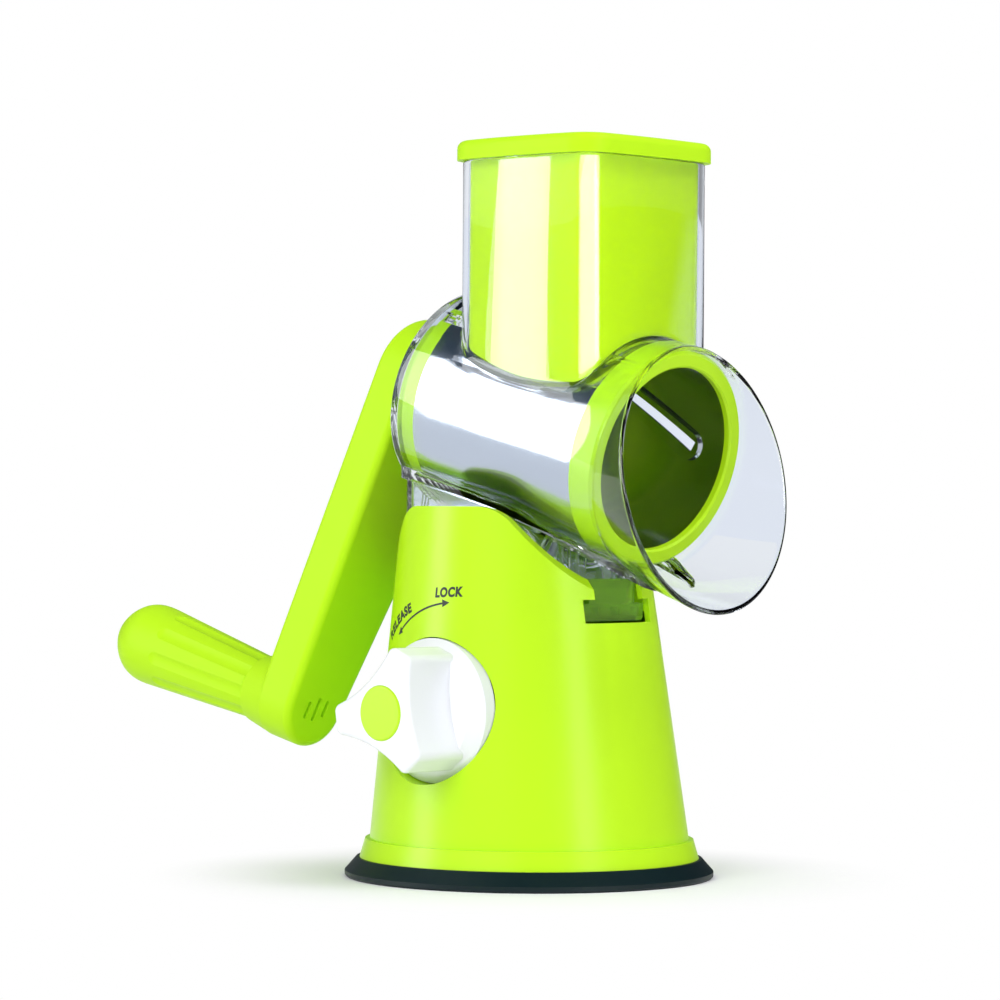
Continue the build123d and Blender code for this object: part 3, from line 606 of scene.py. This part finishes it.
def ring_mesh(name, rings):
    """A closed skin: every ring closes on itself and the last ring joins the first."""
    count, length = len(rings), len(rings[0])
    vertices = [point for ring in rings for point in ring]
    faces = []
    for i in range(count):
        here, there = i * length, (i + 1) % count * length
        for k in range(length):
            n = (k + 1) % length
            faces.append((here + k, here + n, there + n, there + k))
    mesh = bpy.data.meshes.new(name)
    mesh.from_pydata(vertices, [], faces)
    body = bmesh.new()
    body.from_mesh(mesh)
    bmesh.ops.recalc_face_normals(body, faces=body.faces)
    body.to_mesh(mesh)
    body.free()
    return mesh


def prism_mesh(name, outline, low, high):
    """A closed upright bar from an outline of (x, y) points."""
    count = len(outline)
    vertices = [(x, y, low) for x, y in outline] + [(x, y, high) for x, y in outline]
    faces = [(k, (k + 1) % count, count + (k + 1) % count, count + k) for k in range(count)]
    faces += [tuple(range(count))[::-1], tuple(range(count, 2 * count))]
    mesh = bpy.data.meshes.new(name)
    mesh.from_pydata(vertices, [], faces)
    return mesh


hopper_x = 25.6 * mm
hopper_half_length, hopper_half_width = 33.6 * mm, 35.0 * mm
hopper_end_bulge, hopper_side_bulge = 1.9 * mm, 3.0 * mm
hopper_corner = 10.5 * mm
hopper_fillet = 2.4 * mm
fillet_lift = 0.04 * mm
skirt_out, skirt_depth = 0.6 * mm, 0.8 * mm
end_steps, corner_steps, side_steps = 10, 14, 12
hopper_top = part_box("feed_hopper")[1].z
cut_overrun = 10.0 * mm
# The wall's foot inside the barrel, as shares of its thickness from the outside and
# heights over the barrel's inner skin.
foot_shares = (1.0, 0.93, 0.75, 0.55, 0.35, 0.0)
foot_heights = (0.8 * mm, 0.3 * mm, 0.05 * mm, 0.1 * mm, 0.5 * mm, 0.9 * mm)


def bulge_circle(half_chord, bulge):
    """Radius of the arc that stands out by a bulge over a chord."""
    return (half_chord**2 + bulge**2) / (2 * bulge)


def hopper_outline(inset):
    """The (x, y) points of a rounded rectangle with crowned sides, drawn in by an inset."""
    end_radius = bulge_circle(hopper_half_width, hopper_end_bulge)
    side_radius = bulge_circle(hopper_half_length, hopper_side_bulge)
    end_centre = hopper_half_length + hopper_end_bulge - end_radius
    side_centre = hopper_half_width + hopper_side_bulge - side_radius
    a, b = end_radius - hopper_corner, side_radius - hopper_corner
    gap = hypot(end_centre, side_centre)
    along = (a**2 - b**2 + gap**2) / (2 * gap)
    off = sqrt(a**2 - along**2)
    ux, uy = -end_centre / gap, side_centre / gap
    corner = Vector((end_centre + ux * along - uy * off, uy * along + ux * off))
    end_turn = atan2(corner.y, corner.x - end_centre)
    side_turn = atan2(corner.y - side_centre, corner.x)
    quarter = []
    for centre, radius, start, stop, steps in (
        (Vector((end_centre, 0)), end_radius, 0, end_turn, end_steps),
        (corner, hopper_corner, end_turn, side_turn, corner_steps),
        (Vector((0, side_centre)), side_radius, side_turn, pi / 2, side_steps),
    ):
        for i in range(steps):
            turn = start + (stop - start) * i / steps
            quarter.append(centre + Vector((cos(turn), sin(turn))) * (radius - inset))
    quarter.append(Vector((0, side_centre + side_radius - inset)))
    half = quarter + [Vector((-p.x, p.y)) for p in quarter[-2::-1]]
    whole = half + [Vector((p.x, -p.y)) for p in half[-2:0:-1]]
    return [p + Vector((hopper_x, 0)) for p in whole]


def barrel_height(x, y, inset, upper=True):
    """Height of the barrel's wall, inset from its skin, over or under (x, y), found by trial as well."""
    sign = 1 if upper else -1
    station = x / drum_axis.x
    for _ in range(height_trials):
        radius = barrel_radius(station) - inset
        rise = sign * sqrt(max(radius**2 - y**2, 0))
        station = (x - drum_up.x * rise) / drum_axis.x
    return drum_centre.z + drum_axis.z * station + drum_up.z * rise


def hopper_rings():
    """The hopper's wall as rings: a skirt sunk in the barrel, the fillet, the top lip and the foot inside."""
    rings = []
    skirt = [(hopper_fillet + skirt_out, -skirt_depth)]
    root = [(hopper_fillet * (1 - sin(turn)), hopper_fillet * (1 - cos(turn)) + fillet_lift)
            for turn in (pi / 2 * i / round_steps for i in range(round_steps + 1))]
    for out, lift in skirt + root:
        rings.append([Vector((p.x, p.y, barrel_height(p.x, p.y, 0) + lift)) for p in hopper_outline(-out)])
    half = hopper_wall / 2
    for i in range(lip_steps + 1):
        turn = pi * i / lip_steps
        height = hopper_top - half * (1 - sin(turn))
        rings.append([Vector((p.x, p.y, height)) for p in hopper_outline(half * (1 - cos(turn)))])
    for share, lift in zip(foot_shares, foot_heights):
        rings.append([Vector((p.x, p.y, barrel_height(p.x, p.y, clear_wall) + lift))
                      for p in hopper_outline(hopper_wall * share)])
    return rings


merge_reach = 0.002 * mm
flat_angle, sharp_angle = radians(0.6), radians(40)
edge_softness = 0.5 * mm
seat_reach, seat_margin = 0.15 * mm, 0.4 * mm


def pedestal_copy():
    """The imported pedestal, merged, with softened edges and its seat on the barrel sunk into the barrel's wall."""
    mesh = nodes["barrel_pedestal"].data.copy()
    work = bmesh.new()
    work.from_mesh(mesh)
    bmesh.ops.remove_doubles(work, verts=work.verts, dist=merge_reach)
    bmesh.ops.dissolve_limit(work, angle_limit=flat_angle, verts=work.verts, edges=work.edges)
    sharp = []
    for edge in work.edges:
        ends = [v.co - drum_centre for v in edge.verts]
        radii = [(p - drum_axis * p.dot(drum_axis)).length - barrel_radius(p.dot(drum_axis)) for p in ends]
        if max(radii) > seat_margin and len(edge.link_faces) == 2 and edge.calc_face_angle() > sharp_angle:
            sharp.append(edge)
    bmesh.ops.bevel(
        work, geom=sharp, offset=edge_softness, segments=4, profile=0.5, affect="EDGES", clamp_overlap=True
    )
    for v in work.verts:
        p = v.co - drum_centre
        station = p.dot(drum_axis)
        if (p - drum_axis * station).length < barrel_radius(station) + seat_reach:
            v.co.z = barrel_height(v.co.x, v.co.y, clear_wall / 2, upper=False)
    bmesh.ops.triangulate(work, faces=work.faces)
    work.to_mesh(mesh)
    work.free()
    return mesh


def combine(mesh, other, operation):
    """The first mesh with the second added to it or taken from it."""
    first = bpy.data.objects.new("first", mesh)
    second = bpy.data.objects.new("second", other)
    for item in (first, second):
        scene.collection.objects.link(item)
    cut = first.modifiers.new("cut", "BOOLEAN")
    cut.object, cut.operation, cut.solver = second, operation, "EXACT"
    graph = bpy.context.evaluated_depsgraph_get()
    result = bpy.data.meshes.new_from_object(first.evaluated_get(graph))
    for item in (first, second):
        bpy.data.objects.remove(item)
    return result


barrel_mesh = ring_mesh("barrel", [
    [about_drum(radius, station, 2 * pi * i / round_count) for radius, station in
     barrel_profile(2 * pi * i / round_count)]
    for i in range(round_count)
])
way_in = prism_mesh("way_in", hopper_outline(hopper_wall / 2), drum_centre.z, hopper_top + cut_overrun)
housing_mesh = combine(barrel_mesh, way_in, "DIFFERENCE")
housing_mesh = combine(housing_mesh, ring_mesh("hopper", hopper_rings()), "UNION")
housing_mesh = combine(housing_mesh, pedestal_copy(), "UNION")
clear_plastic = clear("clear_plastic", clear_tint)
clear_housing = new_piece("clear_housing", housing_mesh, "base", clear_plastic, smooth_angle=24)
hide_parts("feed_hopper", "drum_barrel", "barrel_pedestal")
# The card in front of the hopper is there for the hopper and the pusher alone.
lit_by_card = bpy.data.collections.new("lit_by_card")
for item in (clear_housing, nodes["pusher_body"]):
    lit_by_card.objects.link(item)
hopper_card.light_linking.receiver_collection = lit_by_card

# ---------------------------------------------------------------------------
# Latch tab
# A ribbed finger tab of clear plastic on a thin neck, its green tint and cloudiness
# painted to stand in for the lime seen through it. Pressing it in frees the housing.
# ---------------------------------------------------------------------------
# Painted see-through colour: the green tint and the cloudy share stand in for the lime base seen through the clear
# tab.
latch_painted_tint = clear("latch_clear_plastic", linear(158, 212, 62), roughness=0.10, clarity=0.66)
finish(latch_painted_tint, "latch_tab")

# ---------------------------------------------------------------------------
# Drum
# A slicing drum of thin polished sheet steel, pressed with three slanting
# knives, between a lime collar and a lime hub.
# ---------------------------------------------------------------------------


def rolled_steel(name, colour, roughness, grain):
    """Polished sheet with a faint grain along the drum."""
    material = bpy.data.materials.new(name)
    material.use_nodes = True
    tree = material.node_tree
    surface = tree.nodes["Principled BSDF"]
    surface.inputs["Base Color"].default_value = colour
    surface.inputs["Metallic"].default_value = 1.0
    place = add_node(tree, "ShaderNodeTexCoord")
    turn = add_node(tree, "ShaderNodeMapping")
    turn.inputs["Rotation"].default_value = (0, asin(drum_axis.z), 0)
    turn.inputs["Scale"].default_value = (6.0, 900.0, 900.0)
    streaks = add_node(tree, "ShaderNodeTexNoise", Scale=1.0, Detail=4.0, Roughness=0.6)
    wavering = add_node(tree, "ShaderNodeMapRange", To_Min=roughness - grain, To_Max=roughness + grain)
    bump = add_node(tree, "ShaderNodeBump", Strength=0.25, Distance=0.000004)
    wire(
        tree,
        (place.outputs["Object"], turn.inputs["Vector"]),
        (turn.outputs[0], streaks.inputs["Vector"]),
        (streaks.outputs["Fac"], wavering.inputs["Value"]),
        (wavering.outputs["Result"], surface.inputs["Roughness"]),
        (streaks.outputs["Fac"], bump.inputs["Height"]),
        (bump.outputs["Normal"], surface.inputs["Normal"]),
    )
    return material


drum_steel = rolled_steel("polished_drum_steel", linear(214, 218, 224), roughness=0.15, grain=0.05)
finish(drum_steel, "drum_shell")
finish(lime_gloss, "front_collar", "rear_hub")

# ---------------------------------------------------------------------------
# Pusher
# A lime box that fills the hopper and presses the food down, closed by a
# snapped-on lime cap that overhangs the hopper's rim.
# ---------------------------------------------------------------------------
# Painted light: the pusher body is a brighter copy of the same lime plastic, standing in for the light its face
# catches behind the clear wall.
lit_lime_copy = moulded("painted_light_lime_plastic", linear(204, 245, 22), roughness=0.12, grain=0.03, depth=0.00001)
lime_satin = moulded(
    "lime_satin_plastic", linear(188, 240, 26), roughness=0.46, grain=0.06, depth=0.00002, speck_scale=1100.0,
    Specular_IOR_Level=0.14
)
finish(lit_lime_copy, "pusher_body")
finish(lime_satin, "pusher_cap")

# ---------------------------------------------------------------------------
# Crank and grip
# Two satin lime half shells are screwed together round the steel drive shaft,
# which turns in an acetal bush. The fluted grip turns on a steel pin.
# ---------------------------------------------------------------------------
finish(lime_satin, "crank_arm_front", "crank_arm_back", "grip")
finish(ground_steel, "drive_shaft", "arm_screw", "grip_pin")
finish(grey_acetal, "axle_bush")
